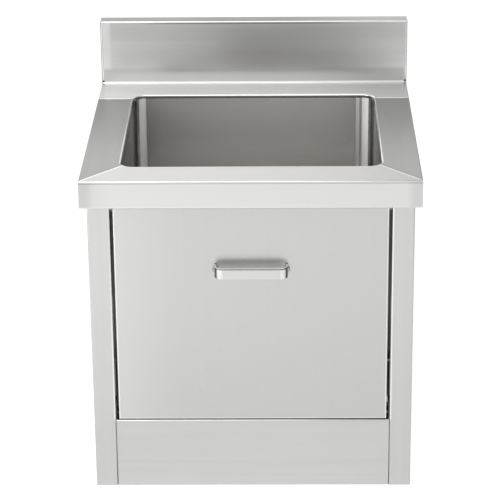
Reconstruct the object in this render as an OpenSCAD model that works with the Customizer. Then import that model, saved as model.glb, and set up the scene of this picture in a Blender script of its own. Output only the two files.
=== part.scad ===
// Mop service sink: a folded stainless steel cabinet with a deep bowl, a splash at the back
// and an access panel that tilts out at the top and lifts off its hooks.
// Millimetres. +Z is up, +Y points to the back and X runs across.
// The origin lies on the floor, under the middle of the outline.

/* [Top] */
// Width of the top, side to side
top_w = 500; // [440:1:700]
// Depth of the top, from the front edge to the back of the splash
top_d = 500; // [450:1:650]
// Height of the rim above the floor
rim_h = 500; // [470:1:900]
// Height of the drop edge round the rim
apron_h = 43; // [30:1:60]
// Width of each side rail of the rim
side_rail_w = 57; // [50:1:90]
// Width of the front rail of the rim
front_rail_w = 65; // [62:1:100]
// Width of the rear rail, from the opening to the splash
rear_rail_w = 65; // [40:1:100]
// Radius of the rolled edge round the opening
roll_r = 3; // [2:0.5:5]
// Depth of the rolled edge, down to the bowl's weld
roll_drop = 6; // [5:0.5:12]

/* [Splash] */
// Height of the splash above the rim
splash_h = 105; // [60:1:200]
// Thickness of the splash, front to back
splash_t = 25; // [15:1:45]
// Height of the turned-down edge behind the splash
splash_return = 30; // [10:1:55]
// Side of the square relief notch at each foot of the splash
notch = 3; // [1:0.5:5]

/* [Sheet] */
// Thickness of the sheet metal
sheet = 1.2; // [0.8:0.1:1.5]
// Inner radius of the folds
fold_r = 1.2; // [0.6:0.1:2]

/* [Bowl] */
// Depth of the bowl, from the rim's top face to its floor
bowl_depth = 220; // [150:1:250]
// Radius of the bowl's upright corners
corner_r = 19; // [10:1:50]
// Radius between the bowl's walls and its floor
floor_r = 15; // [5:1:30]

/* [Cabinet] */
// Overhang of the rim past the cabinet at each side
side_inset = 10; // [5:1:20]
// Overhang of the rim past the cabinet at the front
front_inset = 12; // [8:1:20]
// Distance from the back of the splash to the cabinet's back
rear_inset = 5; // [3:1:15]
// Width of each front stile
stile_w = 33; // [25:1:60]
// Depth of the stile's return behind its front face
stile_return = 20; // [18:1:21]
// Width of the flanges at the top, the floor and the back
flange_w = 20; // [15:1:25]
// Height of the kick panel
kick_h = 111; // [80:1:160]
// Depth of the kick panel's flanges
kick_flange = 25; // [18:1:40]
// Joint between the kick panel and each stile
kick_joint = 0.5; // [0.3:0.1:1]
// Gap between the front rail's return and the face of the cabinet
return_gap = 2; // [1:0.5:4]
// Depth of the header channel, front to back
header_d = 24; // [22:1:26]
// Height of the header channel below the foot of the apron
header_below = 17; // [15:1:40]
// Width of the service cut-out in the back
cutout_w = 200; // [100:1:300]
// Height of the service cut-out
cutout_h = 120; // [60:1:160]
// Height of the cut-out's lower edge above the floor
cutout_z = 90; // [50:1:150]
// Corner radius of the cut-out
cutout_r = 12; // [5:1:30]

/* [Access panel] */
// Gap between the panel and each stile
panel_side_gap = 4.5; // [4:0.1:7]
// Gap between the panel and the kick panel
panel_foot_gap = 1.5; // [1.2:0.1:4]
// Gap between the panel and the foot of the apron
panel_head_gap = 3; // [1.5:0.5:8]
// Thickness of the panel
panel_t = 18; // [16:1:22]
// Clearance round the plate that closes the panel's back
plate_gap = 0.2; // [0.1:0.1:0.5]
// How far the panel lifts to clear its hooks
lift_travel = 14; // [12:1:20]
// How far the panel tilts, in degrees
tilt_limit = 30; // [15:1:40]
// Height of the pivot pins above the panel's foot
pivot_up = 22; // [20:1:26]
// Distance of the pivot pins behind the panel's face
pivot_in = 7; // [6:0.5:7]
// Radius of the pivot pins
pivot_r = 3; // [2:0.5:3.5]
// Radial clearance of the pins in their blocks
pivot_clearance = 0.05; // [0.02:0.01:0.1]
// Radial clearance of the pins in the hooks
hook_clearance = 0.3; // [0.3:0.1:0.6]
// Thickness of the hook plates
hook_t = 2; // [1.5:0.5:2.5]
// Clearance between the panel and the hooks' stop tabs at full tilt
stop_clearance = 0.4; // [0.3:0.1:1]

/* [Handle] */
// Width of the handle, outside to outside
handle_w = 108; // [80:1:200]
// Height of the handle's strap
handle_h = 17; // [12:1:24]
// Thickness of the handle's strap
strap_t = 3; // [2:0.5:4]
// How far the handle stands out from the panel
handle_reach = 22; // [20:1:45]
// Inner radius of the handle's bends
handle_r = 9; // [5:1:12]
// Distance from the panel's head to the middle of the handle
handle_drop = 96; // [60:1:140]
// Thickness of the spacers under the handle
spacer_t = 2.5; // [1.5:0.5:4]
// Radius of the handle's spacers
spacer_r = 4.5; // [4:0.5:6]
// Radius of the handle's studs
stud_r = 2.5; // [2:0.5:3]

/* [Catches] */
// Distance of each catch from the middle of the cabinet
catch_x = 110; // [60:1:150]
// Width of a catch
catch_w = 46; // [40:1:60]
// Depth of a catch, front to back
catch_d = 15; // [12:1:18]
// Height of a catch
catch_h = 15; // [12:1:20]
// Gap between the magnets and the strike plates
catch_gap = 0.3; // [0.3:0.1:0.8]

/* [Waste] */
// Inner radius of the strainer's cup
cup_r = 40; // [34:1:44]
// Depth of the strainer's cup below the bowl's floor
cup_depth = 45; // [38:1:60]
// Radius of the strainer's flange
flange_r = 56; // [54:1:60]
// Wall thickness of the strainer's cup
cup_wall = 2; // [1.5:0.5:3]
// Outer radius of the tailpiece
tail_r = 20; // [16:0.5:22]
// Wall thickness of the tailpiece
tail_wall = 1.6; // [1:0.1:3]
// Length of the tailpiece
tail_len = 110; // [80:1:130]
// Height of the threaded collar under the cup
collar_len = 20; // [16:1:30]
// Radius of the basket's wall
basket_r = 34; // [28:1:34]
// Thickness of the basket's wall
basket_wall = 1; // [0.8:0.1:1.5]
// Holes round the basket's wall, in each row
basket_holes = 16; // [8:1:20]

/* [Hidden] */
$fn = 64;
half = sheet / 2;
fold_out = fold_r + sheet;          // outer radius of a fold
eps = 0.01;

// Planes of the top, front to back
handle_overreach = max(0, handle_reach - front_inset);
y_front = -(top_d - handle_overreach) / 2;
y_back = y_front + top_d;
y_splash = y_back - splash_t;
opening_w = top_w - 2 * side_rail_w;
opening_d = top_d - splash_t - front_rail_w - rear_rail_w;
y_open = y_front + front_rail_w;
y_open_back = y_open + opening_d;
y_bowl = (y_open + y_open_back) / 2;
y_weld = y_open_back - corner_r;    // cross weld between the side rails and the rear rail
rim_under = rim_h - sheet;
apron_z = rim_h - apron_h;
mitre = 1 + 1.5 * corner_r / min(side_rail_w, front_rail_w);   // runs on past the opening's corner
mitre_x = top_w / 2 - mitre * side_rail_w;
mitre_y = y_front + mitre * front_rail_w;

// Planes of the cabinet
side_x = top_w / 2 - side_inset;
stile_x = side_x - stile_w;
face_y = y_front + front_inset;
cab_back_y = y_back - rear_inset;
bowl_z = rim_h - bowl_depth;
edge_r = min(floor_r, corner_r - 1);    // radius round the bowl's base

// Access panel
panel_w = 2 * (stile_x - panel_side_gap);
panel_z = kick_h + panel_foot_gap;
panel_h = apron_z - panel_head_gap - panel_z;
panel_rear = face_y + panel_t;
pivot_y = face_y + pivot_in;
pivot_z = panel_z + pivot_up;
pin_end = stile_x - 0.4;            // the pins stop just short of the stiles
block_w = 14;
block_up = 10;
head_t = 2.5;
head_r = pivot_r + 1.5;
handle_z = panel_z + panel_h - handle_drop;
leg_y = face_y - spacer_t;
leg_x = handle_w / 2 - strap_t / 2;
backing_t = 1.5;
backing_h = 30;
backing_margin = 16;
nut_t = 4;
nut_r = stud_r * 1.85;

// Hook brackets: the tab stands just behind the panel's heel at full tilt
heel_back = panel_t - pivot_in;
tab_y = pivot_y + heel_back * cos(tilt_limit) + pivot_up * sin(tilt_limit) + stop_clearance;
tab_t = 1.5;
tab_w = 12;
tab_low = kick_h + 1;
tab_high = tab_low + 15;
hook_front = face_y + 1.3;
hook_top = pivot_z + lift_travel - pivot_r - 3;
rivet_r = 2;
rivet_head_r = 3.4;
rivet_head_t = 1;
rivet_y = face_y + stile_return - 5;
hook_margin = 5;
rivet_levels = [tab_low + 6, hook_top - 5];

// Catches and header
strike_t = 1.2;
strike_rear = panel_rear + strike_t;
pole_y = strike_rear + catch_gap;
pole_out = 0.3;
catch_y = pole_y + pole_out;
header_y = panel_rear + 4;
header_z = apron_z - header_below;
catch_screw_r = 2;
catch_screw_x = catch_w / 2 - 5;
magnet_w = 24;
magnet_h = 9;
magnet_d = 8;
strike_w = catch_w - 8;
strike_h = catch_h - 2;

// Rim fixings
fixing_r = 3;
fixing_x = side_x - sheet - flange_w / 2;
flange_y0 = header_y + header_d + 2;
flange_y1 = y_splash - 5;
fixing_margin = 60;
fixing_ys = [flange_y0 + fixing_margin, flange_y1 - fixing_margin];
fixing_len = 18;
washer_t = 1.2;
fixing_nut_t = 5;

// Waste, with heights from the top of the dished ring
seal_t = 1.5;
strainer_lip_t = 1.5;
dish = seal_t + strainer_lip_t;
ring_z = bowl_z - dish;
neck_r = cup_r + cup_wall;
hole_r = neck_r + 2;
dish_r = flange_r + 4;
washer_r = flange_r + 1;
sink_washer_t = 3;
friction_t = 1;
lock_nut_t = 8;
lock_nut_w = 12;
lock_nut_r = neck_r + lock_nut_w;
lock_lug = 4;
lock_lugs = 6;
thread_gap = 0.15;
cup_floor_t = 2;
cup_floor = ring_z - cup_depth + cup_floor_t;
collar_in = tail_r - tail_wall;
collar_out = tail_r + 3;
collar_end = ring_z - cup_depth - collar_len;
tail_washer_t = 1.5;
tail_top = collar_end - tail_washer_t;
tail_flange_t = 2;
tail_seat = tail_top - tail_flange_t;
tail_step = 0.4;                    // the tube is drawn in by this inside the coupling nut
coupling_wall = 5;
coupling_up = 13;
coupling_lip = 2.5;
tail_step_len = coupling_lip + 4;
stopper_t = 4;
stopper_r = collar_in + 5.5;
stopper_z = cup_floor + 0.3;
basket_z = stopper_z + stopper_t;
basket_top = ring_z - 3;
basket_rim_r = cup_r - 1.5;
basket_hole_r = 2.2;
floor_holes = 18;
floor_hole_ring = (basket_r - basket_wall + stopper_r) / 2;
knob_r = 8;
knob_t = 6;
post_r = 2.5;

// ---- Shared shapes ----

// Section of a folded sheet along the middle line through pts, whose segments meet square
module fold(pts, t = sheet, r = fold_r) {
    mid = r + t / 2;
    last = len(pts) - 1;
    for (i = [0 : last - 1]) {
        way = (pts[i + 1] - pts[i]) / norm(pts[i + 1] - pts[i]);
        from = pts[i] + way * (i > 0 ? mid : 0);
        to = pts[i + 1] - way * (i < last - 1 ? mid : 0);
        if (norm(to - from) > eps)
            translate(from)
                rotate(atan2(way.y, way.x))
                    translate([0, -t / 2])
                        square([norm(to - from), t]);
    }
    for (i = [1 : last - 1]) {
        way_in = (pts[i] - pts[i - 1]) / norm(pts[i] - pts[i - 1]);
        way_out = (pts[i + 1] - pts[i]) / norm(pts[i + 1] - pts[i]);
        reach = mid + t;
        translate(pts[i] - way_in * mid + way_out * mid)
            intersection() {
                difference() {
                    circle(mid + t / 2);
                    circle(mid - t / 2);
                }
                polygon([[0, 0], -way_out * reach, (way_in - way_out) * reach, way_in * reach]);
            }
    }
}

// Lays a section drawn in (y, z) along X, centred, over the length given
module along_x(length) {
    translate([-length / 2, 0, 0])
        rotate([90, 0, 90])
            linear_extrude(length)
                children();
}

// Lays a section drawn in (x, z) along Y, from y0 to y1
module along_y(y0, y1) {
    translate([0, y1, 0])
        rotate([90, 0, 0])
            linear_extrude(y1 - y0)
                children();
}

module rounded_rect(w, d, r) {
    square([w - 2 * r, d], center = true);
    square([w, d - 2 * r], center = true);
    for (sx = [-1, 1], sy = [-1, 1])
        translate([sx * (w / 2 - r), sy * (d / 2 - r)])
            circle(r);
}

// Lays a section round a rounded rectangle: x is the distance out from it, y the height
module round_frame(w, d, r) {
    straight_x = w / 2 - r;
    straight_y = d / 2 - r;
    for (turn = [0, 180])
        rotate(turn) {
            translate([0, d / 2, 0])
                along_x(2 * straight_x)
                    children();
            translate([w / 2, 0, 0])
                along_y(-straight_y, straight_y)
                    children();
        }
    for (i = [0 : 3])
        translate([(i == 0 || i == 3 ? 1 : -1) * straight_x, (i < 2 ? 1 : -1) * straight_y, 0])
            rotate(90 * i)
                rotate_extrude(angle = 90)
                    translate([r, 0])
                        children();
}

// A ring of metal, washer or rubber between two radii, from z0 upwards
module ring(r_in, r_out, z0, t) {
    translate([0, y_bowl, z0])
        difference() {
            cylinder(r = r_out, h = t);
            translate([0, 0, -1])
                cylinder(r = r_in, h = t + 2);
        }
}

// Places its children at both sides, mirrored
module both_sides() {
    for (s = [0, 1])
        mirror([s, 0, 0])
            children();
}

// ---- Top ----

// Section of the rolled edge: x is the distance from the opening, y the height below the rim
module roll_section() {
    translate([roll_r, -roll_r])
        intersection() {
            difference() {
                circle(roll_r);
                circle(roll_r - sheet);
            }
            translate([-roll_r, 0])
                square(roll_r);
        }
    translate([0, -roll_drop])
        square([sheet, roll_drop - roll_r]);
}

// Rolled edge all round the opening
module opening_roll() {
    translate([0, y_bowl, rim_h])
        round_frame(opening_w, opening_d, corner_r)
            roll_section();
}

// Section of the drop edge: x is the distance in from the outer face
module apron_section(return_w) {
    fold([[return_w, half - apron_h], [half, half - apron_h], [half, -half], [fold_out, -half]]);
}

// Rail over the plan outline: its plate, from the square given, its roll and its drop edge
module rail(outline, plate_from, plate_size) {
    translate([0, 0, rim_under])
        linear_extrude(sheet)
            difference() {
                intersection() {
                    polygon(outline);
                    translate(plate_from)
                        square(plate_size);
                }
                translate([0, y_bowl])
                    rounded_rect(opening_w + 2 * roll_r, opening_d + 2 * roll_r, corner_r + roll_r);
            }
    intersection() {
        union() {
            opening_roll();
            children();
        }
        translate([0, 0, apron_z - 1])
            linear_extrude(apron_h + 2)
                polygon(outline);
    }
}

module front_rim_rail() {
    color("gainsboro")
        rail(
            [[-top_w / 2, y_front], [top_w / 2, y_front], [mitre_x, mitre_y], [-mitre_x, mitre_y]],
            [-top_w / 2, y_front + fold_out], [top_w, top_d]
        )
            translate([0, y_front, rim_h])
                along_x(top_w)
                    apron_section(front_inset - return_gap);
}

module left_rim_rail() {
    color("silver")
        rail(
            [[-top_w / 2, y_front], [-mitre_x, mitre_y], [-mitre_x, y_weld], [-top_w / 2, y_weld]],
            [fold_out - top_w / 2, y_front], [top_w, top_d]
        )
            side_edge();
}

module right_rim_rail() {
    color("silver")
        mirror([1, 0, 0])
            left_rim_rail();
}

// Drop edge along the left side, as far as the foot of the splash
module side_edge() {
    translate([-top_w / 2, 0, rim_h])
        along_y(y_front, y_splash - fold_r)
            apron_section(side_inset);
}

// Rear rail, splash, its top and its turned-down back in one folded sheet
module backsplash() {
    wide = top_w / 2;
    inner_w = top_w - 2 * sheet;
    foot_y = y_splash - fold_r;
    top = rim_h + splash_h;
    color("silver") {
        rail(
            [[-wide, y_weld], [wide, y_weld], [wide, foot_y], [-wide, foot_y]],
            [fold_out - wide, y_weld], [top_w - 2 * fold_out, top_d]
        )
            both_sides()
                side_edge();
        difference() {
            along_x(inner_w)
                fold([
                    [foot_y, rim_h - half],
                    [y_splash + half, rim_h - half],
                    [y_splash + half, top - half],
                    [y_back - half, top - half],
                    [y_back - half, top - splash_return],
                ]);
            both_sides()
                translate([inner_w / 2 - notch, y_splash - 1, rim_h + fold_r])
                    cube([notch + 1, sheet + 2, notch]);
        }
    }
}

// Plates that close the splash and the rear rail at both ends
module splash_end_caps() {
    foot_y = y_splash - fold_r;
    top = rim_h + splash_h;
    color("silver")
        both_sides()
            translate([top_w / 2 - sheet / 2, 0, 0])
                along_x(sheet)
                    polygon([
                        [foot_y, apron_z], [y_back, apron_z], [y_back, top],
                        [y_splash, top], [y_splash, rim_h], [foot_y, rim_h],
                    ]);
}

// Band of sheet that makes the bowl's four walls
module bowl_walls() {
    color("gray")
        translate([0, y_bowl, bowl_z + edge_r])
            round_frame(opening_w, opening_d, corner_r)
                square([sheet, bowl_depth - roll_drop - edge_r]);
}

// Section of the base's rounded edge: x is the distance out from the wall's face
module base_edge() {
    translate([-edge_r, edge_r])
        intersection() {
            difference() {
                circle(edge_r + sheet);
                circle(edge_r);
            }
            translate([0, -edge_r - sheet])
                square(edge_r + sheet);
        }
}

// Pressed base of the bowl, with a rounded edge and a dished seat for the waste
module bowl_base() {
    dish_top_r = dish_r + dish;
    color("gray")
        translate([0, y_bowl, bowl_z]) {
            round_frame(opening_w, opening_d, corner_r)
                base_edge();
            translate([0, 0, -sheet])
                linear_extrude(sheet)
                    difference() {
                        rounded_rect(opening_w - 2 * edge_r, opening_d - 2 * edge_r, corner_r - edge_r);
                        circle(dish_top_r);
                    }
            rotate_extrude()
                polygon([
                    [dish_top_r, 0], [dish_r, -dish], [hole_r, -dish], [hole_r, -dish - sheet],
                    [dish_r - half, -dish - sheet], [dish_top_r, -sheet],
                ]);
        }
}

// ---- Cabinet ----

// Right side panel: stile, side, back flange, and flanges at the top and the floor
module side_panel() {
    linear_extrude(rim_under)
        fold([
            [stile_x + half, face_y + stile_return],
            [stile_x + half, face_y + half],
            [side_x - half, face_y + half],
            [side_x - half, cab_back_y - half],
            [side_x - flange_w - sheet, cab_back_y - half],
        ]);
    difference() {
        for (z = [0, rim_under - sheet])
            translate([side_x - sheet - flange_w, flange_y0, z])
                cube([flange_w + half, flange_y1 - flange_y0, sheet]);
        for (y = fixing_ys)
            translate([fixing_x, y, rim_under - sheet - 1])
                cylinder(r = fixing_r + 0.3, h = sheet + 2);
    }
}

module left_side_panel() {
    color("lightgray")
        mirror([1, 0, 0])
            side_panel_with_rivet_holes();
}

module right_side_panel() {
    color("lightgray")
        side_panel_with_rivet_holes();
}

module side_panel_with_rivet_holes() {
    difference() {
        side_panel();
        for (z = rivet_levels)
            translate([stile_x - 1, rivet_y, z])
                rotate([0, 90, 0])
                    cylinder(r = rivet_r + 0.1, h = sheet + 2);
    }
}

module kick_panel() {
    color("lightgray")
        along_x(2 * (stile_x - kick_joint))
            fold([
                [face_y + kick_flange, kick_h - half],
                [face_y + half, kick_h - half],
                [face_y + half, half],
                [face_y + kick_flange, half],
            ]);
}

// Back panel, in front of the side panels' back flanges, with a flange on the floor
module back_panel() {
    rear = cab_back_y - sheet;
    color("darkgray")
        difference() {
            along_x(2 * (side_x - fold_out))
                fold([[rear - flange_w, half], [rear - half, half], [rear - half, rim_under - 1]]);
            translate([0, rear + 1, cutout_z + cutout_h / 2])
                rotate([90, 0, 0])
                    linear_extrude(sheet + 2)
                        rounded_rect(cutout_w, cutout_h, cutout_r);
        }
}

// Channel across the top of the front, behind the apron
module header_rail() {
    color("darkgray")
        difference() {
            along_x(2 * (side_x - sheet))
                fold([
                    [header_y + header_d, rim_under - half],
                    [header_y + half, rim_under - half],
                    [header_y + half, header_z + half],
                    [header_y + header_d, header_z + half],
                ]);
            each_catch()
                each_catch_screw()
                    translate([0, 0, -1])
                        cylinder(r = catch_screw_r + 0.1, h = sheet + 2);
        }
}

module each_fixing() {
    both_sides()
        for (y = fixing_ys)
            translate([fixing_x, y, 0])
                children();
}

module rim_studs() {
    color("gray")
        each_fixing()
            translate([0, 0, rim_under - fixing_len])
                cylinder(r = fixing_r, h = fixing_len);
}

module rim_washers() {
    color("gray")
        each_fixing()
            translate([0, 0, rim_under - sheet - washer_t])
                difference() {
                    cylinder(r = fixing_r * 2, h = washer_t);
                    translate([0, 0, -1])
                        cylinder(r = fixing_r + 0.2, h = washer_t + 2);
                }
}

module rim_nuts() {
    color("gray")
        each_fixing()
            translate([0, 0, rim_under - sheet - washer_t - fixing_nut_t])
                difference() {
                    cylinder(r = fixing_r * 1.85, h = fixing_nut_t, $fn = 6);
                    translate([0, 0, -1])
                        cylinder(r = fixing_r + 0.05, h = fixing_nut_t + 2);
                }
}

// ---- Hooks ----

// Outline of a hook plate in (y, z), with its open-topped slot for the pivot pin
module hook_outline() {
    slot_r = pivot_r + hook_clearance;
    difference() {
        union() {
            translate([hook_front, tab_low])
                square([rivet_y + hook_margin - hook_front, hook_top - tab_low]);
            translate([hook_front, tab_low])
                square([tab_y + tab_t - hook_front, tab_high - tab_low]);
        }
        translate([pivot_y, pivot_z])
            circle(slot_r);
        translate([pivot_y - slot_r, pivot_z])
            square([2 * slot_r, hook_top]);
        for (z = rivet_levels)
            translate([rivet_y, z])
                circle(rivet_r + 0.1);
    }
}

// Hook plates on the stiles, each with a tab that stops the panel's tilt
module hook_brackets() {
    color("dimgray")
        both_sides() {
            translate([stile_x - hook_t / 2, 0, 0])
                along_x(hook_t)
                    hook_outline();
            translate([stile_x - tab_w, tab_y, tab_low])
                cube([tab_w - hook_t, tab_t, tab_high - tab_low]);
        }
}

module hook_rivets() {
    color("silver")
        both_sides()
            for (z = rivet_levels)
                translate([stile_x - hook_t, rivet_y, z])
                    rotate([0, 90, 0]) {
                        cylinder(r = rivet_r, h = hook_t + sheet);
                        translate([0, 0, -rivet_head_t])
                            cylinder(r = rivet_head_r, h = rivet_head_t);
                        translate([0, 0, hook_t + sheet])
                            cylinder(r = rivet_head_r - 0.4, h = rivet_head_t);
                    }
}

module pivot_pins() {
    inner = panel_w / 2 - sheet - block_w;
    color("silver")
        both_sides()
            translate([inner, pivot_y, pivot_z])
                rotate([0, 90, 0]) {
                    cylinder(r = pivot_r, h = pin_end - inner);
                    translate([0, 0, -head_t])
                        cylinder(r = head_r, h = head_t);
                }
}

// ---- Catches ----

module each_catch() {
    both_sides()
        translate([catch_x, 0, header_z])
            children();
}

module each_catch_screw() {
    for (s = [-1, 1])
        translate([s * catch_screw_x, catch_y + catch_d / 2, 0])
            children();
}

module catch_housings() {
    color("whitesmoke")
        each_catch()
            difference() {
                translate([-catch_w / 2, catch_y, -catch_h])
                    cube([catch_w, catch_d, catch_h]);
                translate([-magnet_w / 2, catch_y - 1, -catch_h / 2 - magnet_h / 2])
                    cube([magnet_w, magnet_d + 1, magnet_h]);
                each_catch_screw()
                    translate([0, 0, -catch_h - 1])
                        cylinder(r = catch_screw_r + 0.1, h = catch_h + 2);
            }
}

// Magnets with their poles, which stand just proud of the housings
module catch_magnets() {
    color("dimgray")
        each_catch()
            translate([-magnet_w / 2, pole_y, -catch_h / 2 - magnet_h / 2])
                cube([magnet_w, magnet_d + pole_out, magnet_h]);
}

module catch_screws() {
    color("silver")
        each_catch()
            each_catch_screw()
                translate([0, 0, -catch_h - head_t]) {
                    cylinder(r = catch_screw_r * 2, h = head_t);
                    cylinder(r = catch_screw_r, h = head_t + catch_h + sheet + 3);
                }
}

// ---- Access panel ----

// Block with its two front uprights and its two front level edges rounded
module panel_block(inset) {
    r = fold_out - inset;
    w = panel_w - 2 * inset;
    h = panel_h - 2 * inset;
    depth = panel_t + inset;
    intersection() {
        translate([0, face_y + inset, panel_z + inset])
            linear_extrude(h) {
                translate([-w / 2, r])
                    square([w, depth - r]);
                translate([r - w / 2, 0])
                    square([w - 2 * r, depth]);
                for (s = [-1, 1])
                    translate([s * (w / 2 - r), r])
                        circle(r);
            }
        translate([0, face_y + inset, panel_z + inset])
            along_x(w) {
                translate([r, 0])
                    square([depth - r, h]);
                translate([0, r])
                    square([depth, h - 2 * r]);
                for (z = [r, h - r])
                    translate([r, z])
                        circle(r);
            }
        translate([-panel_w, face_y, 0])
            cube([2 * panel_w, panel_t + inset, rim_h]);
    }
}

module each_stud() {
    both_sides()
        translate([leg_x, leg_y, handle_z])
            rotate([-90, 0, 0])
                children();
}

module panel_skin() {
    color("gainsboro")
        difference() {
            panel_block(0);
            panel_block(sheet);
            each_stud()
                cylinder(r = stud_r + 0.25, h = spacer_t + sheet + 1);
            translate([0, pivot_y, pivot_z])
                rotate([0, 90, 0])
                    cylinder(r = pivot_r + 0.6, h = panel_w + 2, center = true);
        }
}

module panel_back() {
    inset = sheet + plate_gap;
    color("lightgray")
        translate([inset - panel_w / 2, panel_rear - sheet, panel_z + inset])
            cube([panel_w - 2 * inset, sheet, panel_h - 2 * inset]);
}

module pivot_blocks() {
    color("white")
        both_sides()
            difference() {
                translate([panel_w / 2 - sheet - block_w, face_y + fold_out, panel_z + sheet])
                    cube([block_w, panel_t - sheet - fold_out, pivot_up + block_up - sheet]);
                translate([0, pivot_y, pivot_z])
                    rotate([0, 90, 0])
                        cylinder(r = pivot_r + pivot_clearance, h = panel_w);
            }
}

module handle_backing() {
    color("darkgray")
        difference() {
            translate([-handle_w / 2 - backing_margin, face_y + sheet, handle_z - backing_h / 2])
                cube([handle_w + 2 * backing_margin, backing_t, backing_h]);
            each_stud()
                cylinder(r = stud_r + 0.25, h = spacer_t + sheet + backing_t + 1);
        }
}

module strike_plates() {
    color("silver")
        both_sides()
            difference() {
                translate([catch_x - strike_w / 2, panel_rear, header_z - catch_h / 2 - strike_h / 2])
                    cube([strike_w, strike_t, strike_h]);
                each_strike_rivet()
                    cylinder(r = rivet_r + 0.1, h = strike_t + 3, center = true);
            }
}

module each_strike_rivet() {
    for (s = [-1, 1])
        translate([catch_x + s * (strike_w / 2 - 4), strike_rear, header_z - catch_h / 2])
            rotate([90, 0, 0])
                children();
}

// Rivets that stop short inside the strike plates, clear of the catches
module strike_rivets() {
    color("gray")
        both_sides()
            each_strike_rivet()
                translate([0, 0, 0.1])
                    cylinder(r = rivet_r, h = strike_t - 0.1);
}

module handle() {
    end = handle_w / 2 - strap_t / 2;
    front = face_y - handle_reach + strap_t / 2;
    color("whitesmoke")
        translate([0, 0, handle_z - handle_h / 2])
            linear_extrude(handle_h)
                fold([[-end, leg_y], [-end, front], [end, front], [end, leg_y]], strap_t, handle_r);
}

module handle_studs() {
    color("silver")
        each_stud()
            cylinder(r = stud_r, h = spacer_t + sheet + backing_t + nut_t + 1);
}

module handle_spacers() {
    color("silver")
        each_stud()
            difference() {
                cylinder(r = spacer_r, h = spacer_t);
                translate([0, 0, -1])
                    cylinder(r = stud_r + 0.1, h = spacer_t + 2);
            }
}

module handle_nuts() {
    color("gray")
        each_stud()
            translate([0, 0, spacer_t + sheet + backing_t])
                difference() {
                    cylinder(r = nut_r, h = nut_t, $fn = 6);
                    translate([0, 0, -1])
                        cylinder(r = stud_r + 0.05, h = nut_t + 2);
                }
}

// ---- Waste ----

// Flange, cup and threaded collar in one turned piece
module strainer_body() {
    lip = ring_z + dish;
    color("silver")
        translate([0, y_bowl, 0])
            rotate_extrude()
                polygon([
                    [cup_r, lip], [flange_r - 1, lip], [flange_r, lip - 1], [flange_r, ring_z + seal_t],
                    [neck_r, ring_z + seal_t], [neck_r, ring_z - cup_depth],
                    [collar_out, ring_z - cup_depth], [collar_out, collar_end],
                    [collar_in, collar_end], [collar_in, cup_floor], [cup_r, cup_floor],
                ]);
}

module flange_seal() {
    color("black")
        ring(hole_r, flange_r - 1, ring_z, seal_t);
}

module sink_washer() {
    color("black")
        ring(neck_r + thread_gap, washer_r, ring_z - sheet - sink_washer_t, sink_washer_t);
}

module friction_ring() {
    color("tan")
        ring(neck_r + thread_gap, flange_r, ring_z - sheet - sink_washer_t - friction_t, friction_t);
}

module lock_nut() {
    low = ring_z - sheet - sink_washer_t - friction_t - lock_nut_t;
    color("whitesmoke") {
        ring(neck_r + thread_gap, lock_nut_r - lock_lug, low, lock_nut_t);
        translate([0, y_bowl, low])
            for (i = [0 : lock_lugs - 1])
                rotate(i * 360 / lock_lugs)
                    translate([neck_r + 1, -lock_lug, 0])
                        cube([lock_nut_r - neck_r - 1, 2 * lock_lug, lock_nut_t]);
    }
}

module tailpiece_washer() {
    color("black")
        ring(collar_in, collar_out, tail_top, tail_washer_t);
}

module tailpiece() {
    color("silver")
        translate([0, y_bowl, 0])
            rotate_extrude()
                polygon([
                    [collar_in, tail_top], [collar_out, tail_top],
                    [collar_out, tail_seat], [tail_r - tail_step, tail_seat],
                    [tail_r - tail_step, tail_seat - tail_step_len],
                    [tail_r, tail_seat - tail_step_len],
                    [tail_r, tail_top - tail_len], [collar_in, tail_top - tail_len],
                ]);
}

// Nut that clamps the tailpiece's flange to the collar
module coupling_nut() {
    top = collar_end + coupling_up;
    color("whitesmoke")
        translate([0, y_bowl, 0])
            difference() {
                translate([0, 0, tail_seat - coupling_lip])
                    cylinder(
                        r = collar_out + coupling_wall, h = top - tail_seat + coupling_lip, $fn = 8
                    );
                translate([0, 0, tail_seat])
                    cylinder(r = collar_out + thread_gap, h = top - tail_seat + 1);
                translate([0, 0, tail_seat - coupling_lip - 1])
                    cylinder(r = tail_r + thread_gap, h = coupling_lip + 2);
            }
}

// Lift-out basket with a pierced wall and floor
module basket() {
    inner = basket_r - basket_wall;
    step = (basket_top - basket_z) / 3;
    color("silver")
        difference() {
            translate([0, y_bowl, 0])
                rotate_extrude()
                    polygon([
                        [0, basket_z], [basket_r, basket_z], [basket_r, basket_top - basket_wall],
                        [basket_rim_r, basket_top - basket_wall], [basket_rim_r, basket_top],
                        [inner, basket_top], [inner, basket_z + basket_wall],
                        [0, basket_z + basket_wall],
                    ]);
            for (row = [1, 2], i = [0 : basket_holes - 1])
                translate([0, y_bowl, basket_z + row * step])
                    rotate((i + row / 2) * 360 / basket_holes)
                        translate([inner - 1, 0, 0])
                            rotate([0, 90, 0])
                                cylinder(r = basket_hole_r, h = basket_wall + 2);
            for (i = [0 : floor_holes - 1])
                translate([0, y_bowl, basket_z - 1])
                    rotate(i * 360 / floor_holes)
                        translate([floor_hole_ring, 0, 0])
                            cylinder(r = basket_hole_r, h = basket_wall + 2);
        }
}

module basket_stopper() {
    color("black")
        translate([0, y_bowl, stopper_z])
            cylinder(r = stopper_r, h = stopper_t);
}

// Post and knob for lifting the basket
module basket_knob() {
    color("silver")
        translate([0, y_bowl, basket_z + basket_wall])
            rotate_extrude()
                polygon([
                    [0, 0], [post_r, 0], [post_r, basket_top - basket_z - knob_t],
                    [knob_r, basket_top - basket_z - knob_t + 1], [knob_r, basket_top - basket_z - 1],
                    [knob_r - 2, basket_top - basket_z], [0, basket_top - basket_z],
                ]);
}

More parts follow.
